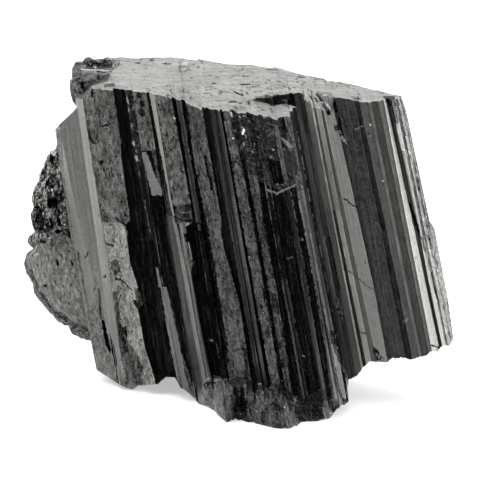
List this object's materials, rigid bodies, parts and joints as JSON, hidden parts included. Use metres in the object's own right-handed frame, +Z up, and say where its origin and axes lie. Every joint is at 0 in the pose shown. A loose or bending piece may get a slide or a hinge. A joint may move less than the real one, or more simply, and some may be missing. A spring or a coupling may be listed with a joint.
{
  "type": "tourmaline crystal",
  "caption": "Broken, striated crystal of black tourmaline with a flat top break, resting on its broken foot",
  "frame": {"origin": "middle of the bounding box, on the floor that the foot rests on", "axes": "+Z up, along the crystal's length; +X to the right along its width, seen from the front; +Y from the front to the back"},
  "size_m": [0.071, 0.0364, 0.0555],
  "materials": {
    "schorl": "glassy striated faces, dull where broken"
  },
  "bodies": {
    "root": {"crystal": "schorl"}
  },
  "joints": []
}
